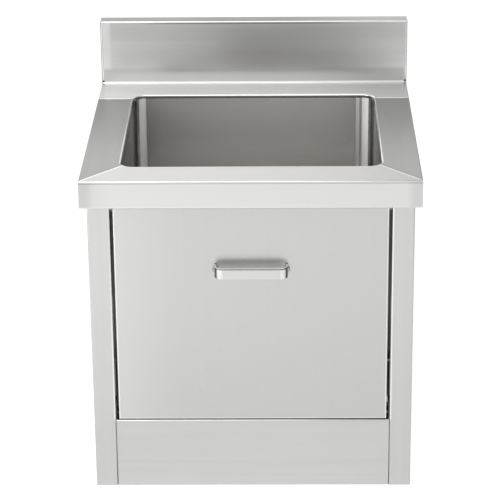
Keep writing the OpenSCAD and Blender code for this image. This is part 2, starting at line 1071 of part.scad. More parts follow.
front_rim_rail();
left_rim_rail();
right_rim_rail();
backsplash();
splash_end_caps();
bowl_walls();
bowl_base();
left_side_panel();
right_side_panel();
kick_panel();
back_panel();
header_rail();
rim_studs();
rim_washers();
rim_nuts();
hook_brackets();
hook_rivets();
catch_housings();
catch_magnets();
catch_screws();
pivot_pins();
panel_skin();
panel_back();
pivot_blocks();
handle_backing();
strike_plates();
strike_rivets();
handle();
handle_studs();
handle_spacers();
handle_nuts();
strainer_body();
flange_seal();
sink_washer();
friction_ring();
lock_nut();
tailpiece_washer();
tailpiece();
coupling_nut();
basket();
basket_stopper();
basket_knob();
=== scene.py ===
"""Looks, stage and camera of a mop service sink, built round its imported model.

Metres throughout. +Z is up, +Y points to the back and X runs across.
"""

import math
import random

import bmesh
import bpy
from bpy.props import FloatProperty, FloatVectorProperty, IntProperty, PointerProperty
from mathutils import Matrix, Vector


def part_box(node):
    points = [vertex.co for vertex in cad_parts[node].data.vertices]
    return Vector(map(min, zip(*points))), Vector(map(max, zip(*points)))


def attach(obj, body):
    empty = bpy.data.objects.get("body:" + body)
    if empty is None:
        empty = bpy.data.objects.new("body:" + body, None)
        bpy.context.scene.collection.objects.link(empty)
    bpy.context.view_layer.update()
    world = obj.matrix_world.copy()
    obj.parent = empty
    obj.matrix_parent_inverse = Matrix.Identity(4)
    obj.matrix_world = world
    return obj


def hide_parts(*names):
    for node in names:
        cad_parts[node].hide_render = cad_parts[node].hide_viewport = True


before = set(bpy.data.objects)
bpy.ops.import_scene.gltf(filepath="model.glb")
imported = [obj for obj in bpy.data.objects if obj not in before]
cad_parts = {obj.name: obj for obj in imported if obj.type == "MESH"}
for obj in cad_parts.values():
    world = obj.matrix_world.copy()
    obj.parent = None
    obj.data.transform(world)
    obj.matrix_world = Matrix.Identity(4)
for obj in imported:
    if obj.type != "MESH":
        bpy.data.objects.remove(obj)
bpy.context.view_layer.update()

bl_info = {
    "name": "Mop service sink",
    "version": (1, 0, 0),
    "blender": (4, 5, 0),
    "location": "3D View > Sidebar > Sink",
    "description": "Finishes, fittings, stage and camera of a stainless mop sink",
    "category": "Object",
}

MM = 0.001
SEED = 20
UP = Vector((0, 0, 1))
BACK = Vector((0, 1, 0))
SIDES = (-1, 1)
QUARTER = math.pi / 2

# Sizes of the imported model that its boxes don't give
SHEET = 1.2 * MM
PANEL_GAP = 4.5 * MM  # between the access panel and each stile
OPENING_CORNER = 20.2 * MM  # outer radius of the bowl's upright corners
STRAP = 3 * MM  # thickness of the handle's strap
STRAP_BEND = 10.5 * MM  # radius of its bends, in the middle of its thickness
HOOK_PLATE = 2 * MM
PIVOT_BLOCK = 14 * MM  # width of the blocks that the pins turn in
CATCH_EDGE = 5 * MM  # from a catch's end to its screw
CATCH_SCREWS = 36 * MM  # between the two screws of a catch


# ---- Settings ----

def colour(name, description, value):
    """A colour that the user may change."""
    return FloatVectorProperty(
        name=name, description=description, subtype="COLOR", size=3, min=0, max=1, default=value
    )


def length(name, description, value, **limits):
    """A length in metres that the user may change."""
    return FloatProperty(
        name=name, description=description, subtype="DISTANCE", unit="LENGTH",
        default=value, precision=5, **limits
    )


def angle(name, description, degrees):
    """An angle that the user may change."""
    return FloatProperty(
        name=name, description=description, subtype="ANGLE", default=math.radians(degrees)
    )


def share(name, description, value, low=0.0, high=1.0):
    """A plain number that the user may change."""
    return FloatProperty(name=name, description=description, default=value, min=low, max=high)


class SteelSettings(bpy.types.PropertyGroup):
    """Colours and finish of the sheet metal."""

    front: colour("Front rail", "Steel of the front rail and its drop edge", (0.755, 0.755, 0.745))
    # The side rails are the same steel as the front rail, painted much darker as painted shade for
    # how their brushing across the view catches less light.
    sides: colour("Side rails", "Steel of the side rails", (0.435, 0.435, 0.425))
    splash: colour("Splash", "Steel of the splash and the rear rail", (0.83, 0.83, 0.82))
    bowl: colour("Bowl", "Steel inside the bowl", (0.75, 0.74, 0.72))
    cabinet: colour("Cabinet", "Steel of the stiles, sides and kick panel", (0.73, 0.73, 0.72))
    panel: colour("Access panel", "Steel of the access panel", (0.69, 0.69, 0.68))
    hidden: colour("Inner sheet", "Mill finish of the hidden sheets", (0.50, 0.50, 0.50))
    handle: colour("Handle", "Steel of the strap handle", (0.74, 0.74, 0.73))
    bright: colour("Turned fittings", "Polished steel of waste and pins", (0.78, 0.78, 0.78))
    zinc: colour("Fixings", "Zinc of the screws, nuts and rivets", (0.62, 0.63, 0.65))
    roughness: share("Roughness", "Roughness of the brushed faces", 0.31)
    grain_pitch: length("Grain pitch", "Distance between the brush lines", 0.0007)
    grain_length: length("Grain length", "Length of one brush line", 0.09)
    grain_depth: length("Grain depth", "Height of the brush lines", 0.00006)


class FittingSettings(bpy.types.PropertyGroup):
    """Sizes of the detail on the fittings and welds, and colours of what isn't steel."""

    edge: length("Edge round", "Radius on the cut edges of the sheet", 0.0003)
    weld_width: length("Weld width", "Width of the ground weld lines", 0.0044)
    weld_rise: length("Weld rise", "Height of the weld lines above the sheet", 0.00015)
    spot_radius: length("Spot weld radius", "Radius of a spot weld's mark", 0.003)
    spots: IntProperty(
        name="Spot welds", description="Spot welds on each back seam", default=9, min=2
    )
    thread_pitch: length("Thread pitch", "Pitch of the studs' thread", 0.001)
    nylon: colour("Nylon", "Moulded nylon of the blocks, catches and nuts", (0.80, 0.80, 0.77))
    rubber: colour("Rubber", "Seals and the basket's stopper", (0.03, 0.03, 0.03))
    fibre: colour("Fibre", "Pressed fibre of the friction ring", (0.50, 0.37, 0.22))
    magnet: colour("Magnet", "Sintered magnets of the catches", (0.06, 0.06, 0.065))


class StageSettings(bpy.types.PropertyGroup):
    """Camera, floor and light."""

    eye: FloatVectorProperty(
        name="Camera", description="Place of the camera", subtype="XYZ", unit="LENGTH",
        size=3, default=(0.049, -3.284, 1.599),
    )
    pitch: angle("Pitch", "How far the camera looks down", 21.65)
    yaw: angle("Yaw", "How far the camera looks to the right", -0.95)
    roll: angle("Roll", "How far the camera leans", -0.53)
    lens: FloatProperty(name="Lens", description="Focal length in millimetres", default=160.9)
    floor: colour("Floor", "Colour of the floor", (0.80, 0.80, 0.80))
    floor_lift: share("Floor lift", "Light added to the floor where the camera sees it", 0.60)
    floor_gloss: share("Floor in metal", "Light added to the floor where metal reflects it", 0.20)
    ambient: share("Ambient", "Strength of the surroundings on matt surfaces", 0.50)
    shine: share("Shine", "Strength of the surroundings in metal, straight ahead", 0.97)
    falloff: share("Falloff", "How fast the surroundings in metal darken to the right", 0.9)
    key: share("Key", "Brightness of the large light at the front left", 3.6, high=20)
    fill: share("Fill", "Brightness of the light at the front right", 0.6, high=20)
    top: share("Top", "Brightness of the light overhead", 2.2, high=20)


def settings(group):
    """The scene's settings of the steel, the fittings or the stage."""
    return getattr(bpy.context.scene, f"sink_{group}")


# ---- Shader expressions ----

class Value:
    """A socket in a node tree. Arithmetic on it adds the Math nodes."""

    def __init__(self, shader, socket):
        self.shader = shader
        self.socket = socket

    def math(self, operation, *terms):
        """A Math node on the terms."""
        return self.shader.node("ShaderNodeMath", {"operation": operation}, dict(enumerate(terms)))

    def __add__(self, other):
        return self.math("ADD", self, other)

    def __sub__(self, other):
        return self.math("SUBTRACT", self, other)

    def __rsub__(self, other):
        return self.math("SUBTRACT", other, self)

    def __mul__(self, other):
        return self.math("MULTIPLY", self, other)

    __radd__ = __add__
    __rmul__ = __mul__

    def magnitude(self):
        """The value without its sign."""
        return self.math("ABSOLUTE", self)

    def diagonal(self, other):
        """Length of the diagonal over two lengths."""
        return self.math("SQRT", self * self + other * other)

    def greatest(self, other):
        """The larger of two values."""
        return self.math("MAXIMUM", self, other)

    def least(self, other):
        """The smaller of two values."""
        return self.math("MINIMUM", self, other)

    def limited(self, low, high):
        """The value, kept between low and high."""
        return self.greatest(low).least(high)

    def between(self, low, high):
        """0 below low and 1 above high, with a smooth step between them."""
        return self.shader.node(
            "ShaderNodeMapRange", {"interpolation_type": "SMOOTHSTEP"},
            {"Value": self, "From Min": low, "From Max": high},
        )

    def rises(self, at, first, last):
        """0 up to first and 1 from last on, both in millimetres past at."""
        return self.between(at + first * MM, at + last * MM)

    def falls(self, at, first, last):
        """1 up to first and 0 from last on, both in millimetres past at."""
        return 1 - self.rises(at, first, last)

    def band(self, at, first, full, fading, last):
        """1 from full to fading and 0 outside first to last, in millimetres past at."""
        return self.rises(at, first, full) * self.falls(at, fading, last)


class Shader:
    """A node tree that is written as expressions."""

    def __init__(self, name, tree=None):
        self.material = None
        if tree is None:
            self.material = bpy.data.materials.new(name)
            self.material.use_nodes = True
            tree = self.material.node_tree
        self.tree = tree
        self.tree.nodes.clear()

    def node(self, kind, settings=None, inputs=None, output=0):
        """Adds a node: its settings first, then the values or links of its sockets."""
        made = self.tree.nodes.new(kind)
        for key, value in (settings or {}).items():
            setattr(made, key, value)
        for key, value in (inputs or {}).items():
            if isinstance(value, Value):
                self.tree.links.new(value.socket, made.inputs[key])
            else:
                made.inputs[key].default_value = value
        return Value(self, made.outputs[output])

    def place(self):
        """Position on the piece, in metres."""
        return self.node("ShaderNodeTexCoord", output="Object")

    def ray(self, kind):
        """1 for the light of one kind of ray, and 0 for the others."""
        return self.node("ShaderNodeLightPath", output=f"Is {kind} Ray")

    def part(self, vector, axis):
        """One component of a vector."""
        return self.node("ShaderNodeSeparateXYZ", None, {"Vector": vector}, axis)

    def parts(self, vector, axes):
        """Several components of a vector."""
        return [self.part(vector, axis) for axis in axes]

    def stretched(self, place, scale):
        """The place, multiplied along each axis."""
        return self.node("ShaderNodeVectorMath", {"operation": "MULTIPLY"}, {0: place, 1: scale})

    def noise(self, place, scale=1.0, detail=2.0, roughness=0.5):
        """A cloudy pattern from 0 to 1."""
        return self.node(
            "ShaderNodeTexNoise", None,
            {"Vector": place, "Scale": scale, "Detail": detail, "Roughness": roughness},
        )

    def blend(self, amount, first, second):
        """Mixes two colours."""
        return self.node(
            "ShaderNodeMix", {"data_type": "RGBA"}, {0: amount, 6: first, 7: second}, output=2
        )

    def bump(self, height, distance):
        """The normal of a relief that is distance metres high."""
        return self.node(
            "ShaderNodeBump", None, {"Height": height, "Distance": distance, "Strength": 1.0}
        )

    def surface(self, base, rough, normal, metallic=1.0, drawn=0.0):
        """A Principled surface. drawn is how far it draws reflections out sideways."""
        return self.node("ShaderNodeBsdfPrincipled", None, {
            "Base Color": base, "Roughness": rough, "Normal": normal, "Metallic": metallic,
            "Anisotropic": drawn,
        })

    def close(self, surface, kind="ShaderNodeOutputMaterial"):
        """Links a surface to the tree's output and returns the material."""
        made = self.tree.nodes.new(kind)
        self.tree.links.new(surface.socket, made.inputs["Surface"])
        return self.material


def opening_distance(s, place):
    """Distance out from the edge of the bowl's opening, in plan."""
    out_x, out_y = (
        (s.part(place, axis) - (low + high) / 2).magnitude() - ((high - low) / 2 - OPENING_CORNER)
        for axis, low, high in zip("XY", *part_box("bowl_walls"))
    )
    reach = out_x.greatest(0.0).diagonal(out_y.greatest(0.0))
    return reach + out_x.greatest(out_y).least(0.0) - OPENING_CORNER


def rgba(rgb, level=1.0):
    """A colour at a level, as a socket takes it."""
    return (*(min(1.0, c * level) for c in rgb), 1.0)


# The touches below blend PALE in mostly as painted highlight, DARK mostly as painted shade, and the
# grey as painted shade on the splash's top return.
PALE = (0.97, 0.97, 0.96, 1)
SHADE_GREY = (0.30, 0.30, 0.30, 1)
DARK = (0.03, 0.03, 0.03, 1)
WHITE = (1, 1, 1, 1)

# Directions of the brush lines. Along the name the pattern is long, across it short.
GRAINS = {"across": (1, 0, 0), "deep": (0, 1, 0), "upright": (0, 0, 1), "level": (1, 1, 0)}

# Length and pitch of the other marks in brushed steel
STREAKS = (0.55, 0.009)
SCRATCHES = (0.03, 0.0011)
CROSS_MARKS = (2 * MM, 30 * MM)


def brushed(
    name, rgb, roughness, grain="across", depth=1.0, variation=0.05, touch=None,
    cross=0.0, spread=0.0, haze=None,
):
    """Brushed steel with brush lines, broad streaks, a few scratches and faint smears.

    touch changes the colour and the roughness of some places, and haze gives the share of the
    light that the brushing scatters there. cross is the share of fine marks across the brush
    lines, and spread is how far reflections are drawn out sideways above the rim.
    """
    steel = settings("steel")
    s = Shader(name)
    place = s.place()

    def marks(length_along, pitch, *detail):
        scale = (1 / length_along if along else 1 / pitch for along in GRAINS[grain])
        return s.noise(s.stretched(place, tuple(scale)), 1, *detail)

    lines = marks(steel.grain_length, steel.grain_pitch, 3, 0.6)
    streaks = marks(*STREAKS, 3, 0.6)
    scratches = marks(*SCRATCHES, 1).between(0.70, 0.76)
    smears = s.noise(place, 9, 3, 0.55)
    tone = 0.5 + (lines - 0.5) * 0.5 + (streaks - 0.5) * 0.9 + (smears - 0.5) * 0.5
    base = s.blend(tone, rgba(rgb, 1 - variation), rgba(rgb, 1 + variation))
    rough = roughness + (lines - 0.5) * 0.06 + (smears - 0.5) * 0.10 - scratches * 0.03
    relief = lines + (streaks - 0.5) * 0.15 - scratches * 0.25
    if cross:
        relief = relief + (marks(*CROSS_MARKS, 2) - 0.5) * cross
    normal = s.bump(relief, steel.grain_depth * depth)
    if touch:
        base, rough = touch(s, place, base, rough)
    metallic = 1 - haze(s, place) if haze else 1.0
    surface = s.surface(base, rough, normal, metallic)
    if spread:
        drawn = s.surface(base, rough, normal, metallic, spread)
        above = s.part(place, "Z").rises(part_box("front_rim_rail")[1].z, 1, 3)
        surface = s.node("ShaderNodeMixShader", None, {0: above, 1: surface, 2: drawn})
    return s.close(surface)


def buffed_edge_with_painted_light(s, place, base, rough, weld):
    """Buffs the rolled edge round the opening and paints a highlight on it, and paints shade, by
    the amount weld, in a line just inside where the bowl meets it.
    """
    away = opening_distance(s, place)
    edge = away.falls(0.0, 1.2, 2.0)
    # seam is painted shade: a dark line just inside the opening's edge.
    seam = away.falls(0.0, -1.0, -0.5)
    base = s.blend(edge, base, PALE)
    return s.blend(seam * weld, base, DARK), rough - edge * 0.12


def front_touches(s, place, base, rough):
    """Buffs the front rail's rolled edge, paints highlights on it, on the drop face and on the fold
    at the drop's foot, and paints shade under the top bend, towards the top's right and at the
    drop's ends.
    """
    low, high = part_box("front_rim_rail")
    base, rough = buffed_edge_with_painted_light(s, place, base, rough, weld=0.9)
    across, height = s.parts(place, "XZ")
    drop = height.falls(high.z, -2.2, -0.6)
    top = 1 - drop
    fold = height.falls(low.z, 1.2, 2.4)
    shade_under_bend = height.band(high.z, -5.2, -4.6, -3.6, -3.0)
    right = across.between(-0.05, high.x) * top
    far = across.between(0.15, high.x) * top
    ends = across.magnitude().rises(high.x, -25, -8) * drop
    left = across.falls(low.x, 10, 60) * drop
    # Painted shade on the top's right, the drop's ends and under the top bend; the drop face is
    # painted lighter and its foot fold gets a painted highlight.
    painted_shade = right * 0.12 + far * 0.07 + ends * 0.13 + left * 0.07 + shade_under_bend * 0.30
    base = s.blend(painted_shade, s.blend(drop * 0.38, base, PALE), DARK)
    return s.blend(fold, base, PALE), rough


def sheet_touches(s, place, base, rough):
    """Paints shade on the front's sheets, a little darker towards the floor."""
    low = 1 - s.part(place, "Z").between(0.0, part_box("left_side_panel")[1].z)
    return s.blend(low * 0.14, base, DARK), rough


def panel_touches(s, place, base, rough):
    """Paints light on the access panel's left part, paints shade towards its foot, and paints
    highlights on its side bends and its foot fold.
    """
    low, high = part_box("panel_skin")
    across, height = s.parts(place, "XZ")
    left = across.falls(low.x, -20, 110)
    base = s.blend(left * (0.30 - height.between(0.0, 0.6) * 0.10), base, PALE)
    base, rough = sheet_touches(s, place, base, rough)
    bend = across.magnitude().rises(high.x, -2.8, -2.0)
    foot = height.falls(low.z, 2.0, 2.8)
    return s.blend(bend.greatest(foot * 0.8) * 0.9, base, PALE), rough


def stile_touches(s, place, base, rough):
    """Paints shade on the side panels' foot, and paints highlights on their bends beside the access
    panel.
    """
    base, rough = sheet_touches(s, place, base, rough)
    low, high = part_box("panel_skin")
    across, deep, height = s.parts(place, "XYZ")
    bend = across.magnitude().falls(high.x + PANEL_GAP, 2.2, 3.0)
    front = deep.falls(low.y, 1.5, 2.5)
    above = height.rises(low.z, -2, 0)
    return s.blend(bend * front * above * 0.9, base, PALE), rough


def handle_touches(s, place, base, rough):
    """Paints highlights on the handle's bends, and paints shade on its ends and in a line under its
    upper arris.
    """
    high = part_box("handle")[1]
    across, height = s.parts(place, "XZ")
    out = across.magnitude()
    bend = out.band(high.x, -13, -10, -6, -4)
    below = height.falls(high.z, -0.5, -0.2)
    end = out.rises(high.x, -4.5, -2.2) * below
    arris = height.rises(high.z, -2.1, -1.7) * below
    base = s.blend(bend * 0.6, base, PALE)
    return s.blend((end * 0.9 + arris * 0.95).limited(0.0, 0.96), base, DARK), rough


def foot_touches(s, place, base, rough):
    """Paints shade round the rims of the handle's feet."""
    low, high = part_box("handle_spacers")
    across, height = s.parts(place, "XZ")
    radius = (high.z - low.z) / 2
    side = across.magnitude() - (high.x - radius)
    up = height - (low.z + high.z) / 2
    rim = side.diagonal(up).rises(radius, -1.3, -0.8)
    return s.blend(rim * 0.8, base, DARK), rough


def pin_touches(s, place, base, rough):
    """Darkens the ends of the pivot pins, where they lie in the hooks."""
    end = s.part(place, "X").magnitude().rises(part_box("panel_skin")[1].x, -1, 0)
    return s.blend(end * 0.95, base, DARK), rough


def side_touches(s, place, base, rough):
    """Paints the side rails' drop edges in the front rail's tone, paints shade towards their backs
    and on their top bends, and buffs their rolled edge with a painted highlight.
    """
    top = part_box("left_rim_rail")[1].z
    deep, height = s.parts(place, "YZ")
    drop = height.falls(top, -3.8, -3.0)
    bend = height.falls(top, -1.0, -0.3)
    back = deep.between(-0.18, 0.14) * 0.50
    base = s.blend(back + bend * 0.35, base, DARK)
    base = s.blend(drop, base, rgba(settings("steel").front, 0.92))
    return buffed_edge_with_painted_light(s, place, base, rough, weld=0.9)


def splash_touches(s, place, base, rough):
    """Buffs the rear rail's rolled edge, paints highlights on the splash's bends, top arris and
    left end, paints shade on its foot, rear rail, crown and under its arris, and paints its top
    return grey as shade.
    """
    base, rough = buffed_edge_with_painted_light(s, place, base, rough, weld=0.45)
    low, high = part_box("backsplash")
    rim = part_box("front_rim_rail")[1].z
    across, height = s.parts(place, "XZ")
    right = across.between(0.06, 0.22)
    middle = across.band(0.0, -140, -40, 20, 120)
    upper = height.rises(high.z, -1.2, -0.4)
    arris = height.rises(high.z, -3.4, -2.6)
    inner = across.band(0.0, -200, -140, 80, 200)
    under = height.band(high.z, -5.6, -4.8, -3.6, -3.0) * inner
    crown = height.rises(high.z, -42, -14)
    foot = height.falls(rim, 20, 30)
    bend = height.band(rim, 0.2, 0.6, 2.4, 3.2)
    rail = height.falls(rim, -1, 1)
    end = across.falls(low.x, 12, 19) * (1 - foot)
    # Painted shade on the foot, the rear rail, a line under the top arris and the crown; painted
    # highlights on the left end, the foot bend and the arris.
    painted_shade = foot * (0.20 + right * 0.10) + under * 0.45 + crown * 0.13 + rail * 0.07
    base = s.blend(painted_shade, base, DARK)
    base = s.blend(end * 0.8 + bend, base, PALE)
    base = s.blend(arris * 0.9, base, PALE)
    # The top return is painted grey as shade, less towards the right and more in the middle.
    return s.blend(upper * (0.80 - right * 0.34 + middle * 0.14), base, SHADE_GREY), rough


def splash_haze(s, place):
    """The splash's face scatters some light, the most towards its left quarter."""
    across, height = s.parts(place, "XZ")
    left = across.band(0.0, -220, -160, -100, 0)
    return height.rises(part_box("front_rim_rail")[1].z, 18, 32) * (0.15 + left * 0.17)


def weld_touches(s, place, base, rough):
    """Darkens the front right weld a little against the others."""
    across, deep = s.parts(place, "XY")
    front_right = across.between(0.0, 0.05) * (1 - deep.between(0.0, 0.05))
    return s.blend(front_right * 0.24, base, DARK), rough


def bowl_haze(s, place):
    """The upper part of the bowl's back wall scatters some light."""
    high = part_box("bowl_walls")[1]
    deep, height = s.parts(place, "YZ")
    return deep.rises(high.y, -30, -15) * height.rises(high.z, -150, 0) * 0.15


def cap_touches(s, place, base, rough):
    """Paints shade along the front edges of the splash's end caps, which show their cut sheet."""
    edge = s.part(place, "Y").falls(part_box("splash_end_caps")[0].y, 0.8, 1.8)
    return s.blend(edge * 0.85, base, DARK), rough


def bowl_touches(s, place, base, rough):
    """Paints shade on the side walls, a band along their top and the back corners' bends, light on
    the upper walls, and highlights on sanded strips down the back corners.
    """
    low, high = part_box("bowl_walls")
    across, deep, height = s.parts(place, "XYZ")
    out = across.magnitude()
    side = out.rises(high.x, -9, -2)
    # weld is a band of painted shade along the top of the side walls, under the rim's rolled edge.
    weld = height.rises(high.z, -16, -13)
    front = deep.falls(low.y, 4, 24)
    upper = height.rises(high.z, -130, 0)
    back = deep.rises(high.y, -23, -19)
    bend = out.rises(high.x, -6, -4) * back
    strip = out.band(high.x, -20, -18, -9.5, -8)
    line = across.band(high.x, -29.5, -28, -24, -22.5)
    sanded_highlight = (strip + line * 0.7) * back
    # The upper walls are painted lighter as painted light, and the sanded strips pale as painted
    # highlight.
    base = s.blend((upper * 0.75 + sanded_highlight * 0.5).limited(0.0, 1.0), base, PALE)
    dark = (side * (0.77 + weld * 0.19) + bend * 0.25).limited(0.0, 0.97)
    return s.blend(dark, base, DARK), rough + side * 0.05 + sanded_highlight * 0.40 + front * 0.25


def mill_sheet(name, rgb, roughness):
    """Plain rolled sheet: a cloudy, slightly pitted grey."""
    s = Shader(name)
    place = s.place()
    cloud = s.noise(place, 30, 4, 0.6)
    pits = s.noise(place, 1400, 2, 0.6)
    rolled = s.noise(s.stretched(place, (4, 260, 260)), 1, 2)
    tone = 0.5 + (cloud - 0.5) * 0.8 + (rolled - 0.5) * 0.4
    base = s.blend(tone, rgba(rgb, 0.86), rgba(rgb, 1.12))
    rough = roughness + (cloud - 0.5) * 0.16 + (pits - 0.5) * 0.06
    relief = s.bump(pits + rolled * 0.5, 0.00002)
    return s.close(s.surface(base, rough, relief))


def turned_steel(name, rgb, roughness, touch=None):
    """Bright steel off a lathe, with fine marks round the waste's axis and soft handling marks."""
    s = Shader(name)
    place = s.place()
    rings = s.noise(s.stretched(place, (90, 90, 2600)), 1, 2)
    cloud = s.noise(place, 55, 3, 0.6)
    base = s.blend(0.5 + (cloud - 0.5) * 0.6, rgba(rgb, 0.92), rgba(rgb, 1.06))
    rough = roughness + (cloud - 0.5) * 0.12 + (rings - 0.5) * 0.08
    if touch:
        base, rough = touch(s, place, base, rough)
    return s.close(s.surface(base, rough, s.bump(rings, 0.00001)))


def zinc_plate(name, rgb, roughness):
    """Zinc plating: mottled, with a faint bluish and yellowish cast."""
    s = Shader(name)
    place = s.place()
    spangle = s.node("ShaderNodeTexVoronoi", None, {"Vector": place, "Scale": 900.0}, "Color")
    cloud = s.noise(place, 160, 3, 0.6)
    red, green, blue = rgb
    yellowish, bluish = (red, green * 0.99, blue * 0.90, 1), (red * 0.93, green, blue, 1)
    base = s.blend(0.08, s.blend(cloud, yellowish, bluish), spangle)
    rough = roughness + (cloud - 0.5) * 0.2
    return s.close(s.surface(base, rough, s.bump(cloud, 0.00001)))


def moulded(name, rgb, roughness, grain_size, relief):
    """Moulded plastic or rubber with a spark-eroded surface and slight shade changes."""
    s = Shader(name)
    place = s.place()
    grain = s.noise(place, 1 / grain_size, 3, 0.6)
    cloud = s.noise(place, 40, 3, 0.5)
    tone = 0.5 + (cloud - 0.5) * 0.7 + (grain - 0.5) * 0.2
    base = s.blend(tone, rgba(rgb, 0.9), rgba(rgb, 1.06))
    rough = roughness + (grain - 0.5) * 0.12 + (cloud - 0.5) * 0.08
    return s.close(s.surface(base, rough, s.bump(grain, relief), metallic=0.0))


def pressed_fibre(name, rgb, roughness):
    """Pressed fibre: flecks that lie every way."""
    s = Shader(name)
    place = s.place()
    fleck = s.noise(s.stretched(place, (1, 1, 3)), 900, 4, 0.7)
    cloud = s.noise(place, 120, 3, 0.6)
    base = s.blend(fleck * 0.7 + cloud * 0.3, rgba(rgb, 0.62), rgba(rgb, 1.35))
    rough = roughness + (fleck - 0.5) * 0.1
    return s.close(s.surface(base, rough, s.bump(fleck, 0.00008), metallic=0.0))


def dress(material, edge, *names):
    """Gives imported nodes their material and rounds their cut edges, where edge isn't 0."""
    for name in names:
        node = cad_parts[name]
        for slot in node.material_slots:
            slot.material = material
        if edge:
            soften(node, edge)


def soften(node, radius):
    """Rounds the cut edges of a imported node."""
    weld = node.modifiers.new("join", "WELD")
    weld.merge_threshold = 1e-6
    bevel = node.modifiers.new("edge", "BEVEL")
    bevel.width = radius
    bevel.segments = 2
    bevel.limit_method = "ANGLE"
    bevel.angle_limit = math.radians(40)
    bevel.use_clamp_overlap = True
    bevel.harden_normals = True


# ---- Mesh helpers ----

def levels(low, high, count):
    """Evenly spaced numbers from low to high, count steps apart."""
    return [low + (high - low) * k / count for k in range(count + 1)]


def placed(at, turn=0.0, axis="X"):
    """The place at a point, turned about an axis."""
    return Matrix.Translation(at) @ Matrix.Rotation(turn, 4, axis)


def add_turned(bm, outline, place, steps=64, shape=None):
    """Turns a closed outline of (radius, height) points round place's Z axis."""
    rings = []
    for k in range(steps):
        turn = 2 * math.pi * k / steps
        ring = []
        for radius, height in outline:
            r = shape(radius, turn, height) if shape else radius
            point = Vector((r * math.cos(turn), r * math.sin(turn), height))
            ring.append(bm.verts.new(place @ point))
        rings.append(ring)
    count = len(outline)
    for k in range(steps):
        ring, after = rings[k], rings[(k + 1) % steps]
        for i in range(count):
            j = (i + 1) % count
            if outline[i][0] != 0 or outline[j][0] != 0:
                bm.faces.new((ring[i], ring[j], after[j], after[i]))


def add_loft(bm, sections):
    """Joins closed sections of equally many points, with flat ends."""
    rings = [[bm.verts.new(point) for point in section] for section in sections]
    count = len(rings[0])
    for ring, after in zip(rings, rings[1:]):
        for i in range(count):
            j = (i + 1) % count
            bm.faces.new((ring[i], ring[j], after[j], after[i]))
    bm.faces.new(rings[0])
    bm.faces.new(list(reversed(rings[-1])))


def rounded(points, radius, steps=3):
    """The outline with each corner off the axis replaced by a short arc."""
    made = []
    count = len(points)
    for i, here in enumerate(points):
        p = Vector(here)
        before = Vector(points[i - 1]) - p
        after = Vector(points[(i + 1) % count]) - p
        if here[0] == 0:
            made.append(tuple(p))
            continue
        reach = min(radius, before.length * 0.45, after.length * 0.45)
        start, end = p + before.normalized() * reach, p + after.normalized() * reach
        for k in range(steps + 1):
            t = k / steps
            made.append(tuple(start.lerp(p, t).lerp(p.lerp(end, t), t)))
    return made


def stand(name, data):
    """Puts an object with the data into the scene."""
    made = bpy.data.objects.new(name, data)
    bpy.context.scene.collection.objects.link(made)
    return made


def piece(name, bm, material, body, slot, *replaced):
    """Makes a piece of the mesh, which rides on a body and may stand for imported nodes."""
    bmesh.ops.remove_doubles(bm, verts=bm.verts, dist=1e-7)
    bmesh.ops.dissolve_degenerate(bm, edges=bm.edges, dist=1e-8)
    bmesh.ops.recalc_face_normals(bm, faces=bm.faces)
    mesh = bpy.data.meshes.new(name)
    bm.to_mesh(mesh)
    bm.free()
    mesh.shade_smooth()
    mesh.set_sharp_from_angle(angle=math.radians(32))
    mesh.materials.append(material)
    made = stand(name, mesh)
    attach(made, body)
    if replaced:
        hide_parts(*replaced)


def splash_face():
    """Where the front face of the splash stands in Y."""
    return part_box("splash_end_caps")[0].y + SHEET


# ---- Steps ----

class SINK_OT_rim(bpy.types.Operator):
    """Finish the rails of the rim, the splash and its end caps"""

    bl_idname = "sink.rim"
    bl_label = "Rim and splash"

    def execute(self, context):
        steel = settings("steel")
        rough = steel.roughness
        front = brushed("front_rail_steel", steel.front, rough, "across", 0.7, 0.03, front_touches)
        sides = brushed("side_rail_steel", steel.sides, rough, "deep", 0.7, 0.05, side_touches)
        splash = brushed(
            "splash_steel", steel.splash, rough + 0.03, "across", 0.9, 0.07, splash_touches,
            cross=0.6, spread=0.88, haze=splash_haze,
        )
        caps = brushed("cap_steel", steel.splash, rough, "deep", touch=cap_touches)
        edge = settings("fittings").edge
        dress(front, edge, "front_rim_rail")
        dress(sides, edge, "left_rim_rail", "right_rim_rail")
        dress(splash, edge, "backsplash")
        dress(caps, edge, "splash_end_caps")
        return {"FINISHED"}


class SINK_OT_bowl(bpy.types.Operator):
    """Finish the walls and the base of the bowl"""

    bl_idname = "sink.bowl"
    bl_label = "Bowl"

    def execute(self, context):
        steel = settings("steel")
        walls = brushed(
            "bowl_wall_steel", steel.bowl, 0.21, "level", 0.3, 0.02, bowl_touches, haze=bowl_haze
        )
        # The bowl's base is painted darker than its walls, as painted shade deep in the bowl.
        darker = [c * 0.71 for c in steel.bowl]
        dress(walls, 0, "bowl_walls")
        dress(brushed("bowl_base_steel", darker, 0.22, "across", 0.3, 0.03), 0, "bowl_base")
        return {"FINISHED"}


class SINK_OT_cabinet(bpy.types.Operator):
    """Finish the cabinet's sheets, inside and out"""

    bl_idname = "sink.cabinet"
    bl_label = "Cabinet"

    def execute(self, context):
        steel = settings("steel")
        rough, edge = steel.roughness, settings("fittings").edge
        side = brushed("side_steel", steel.cabinet, rough, "upright", 0.8, 0.05, stile_touches)
        kick = brushed("kick_steel", steel.cabinet, rough, "across", 0.8, 0.05, sheet_touches)
        mill = mill_sheet("mill_steel", steel.hidden, 0.36)
        # The hook plates are painted near black, as painted shade in the gaps beside the access
        # panel.
        hooks = mill_sheet("hook_steel", [c * 0.15 for c in steel.hidden], 0.36)
        dress(side, edge, "left_side_panel", "right_side_panel")
        dress(kick, edge, "kick_panel")
        dress(mill, edge, "back_panel", "header_rail", "handle_backing")
        dress(hooks, edge, "hook_brackets")
        return {"FINISHED"}


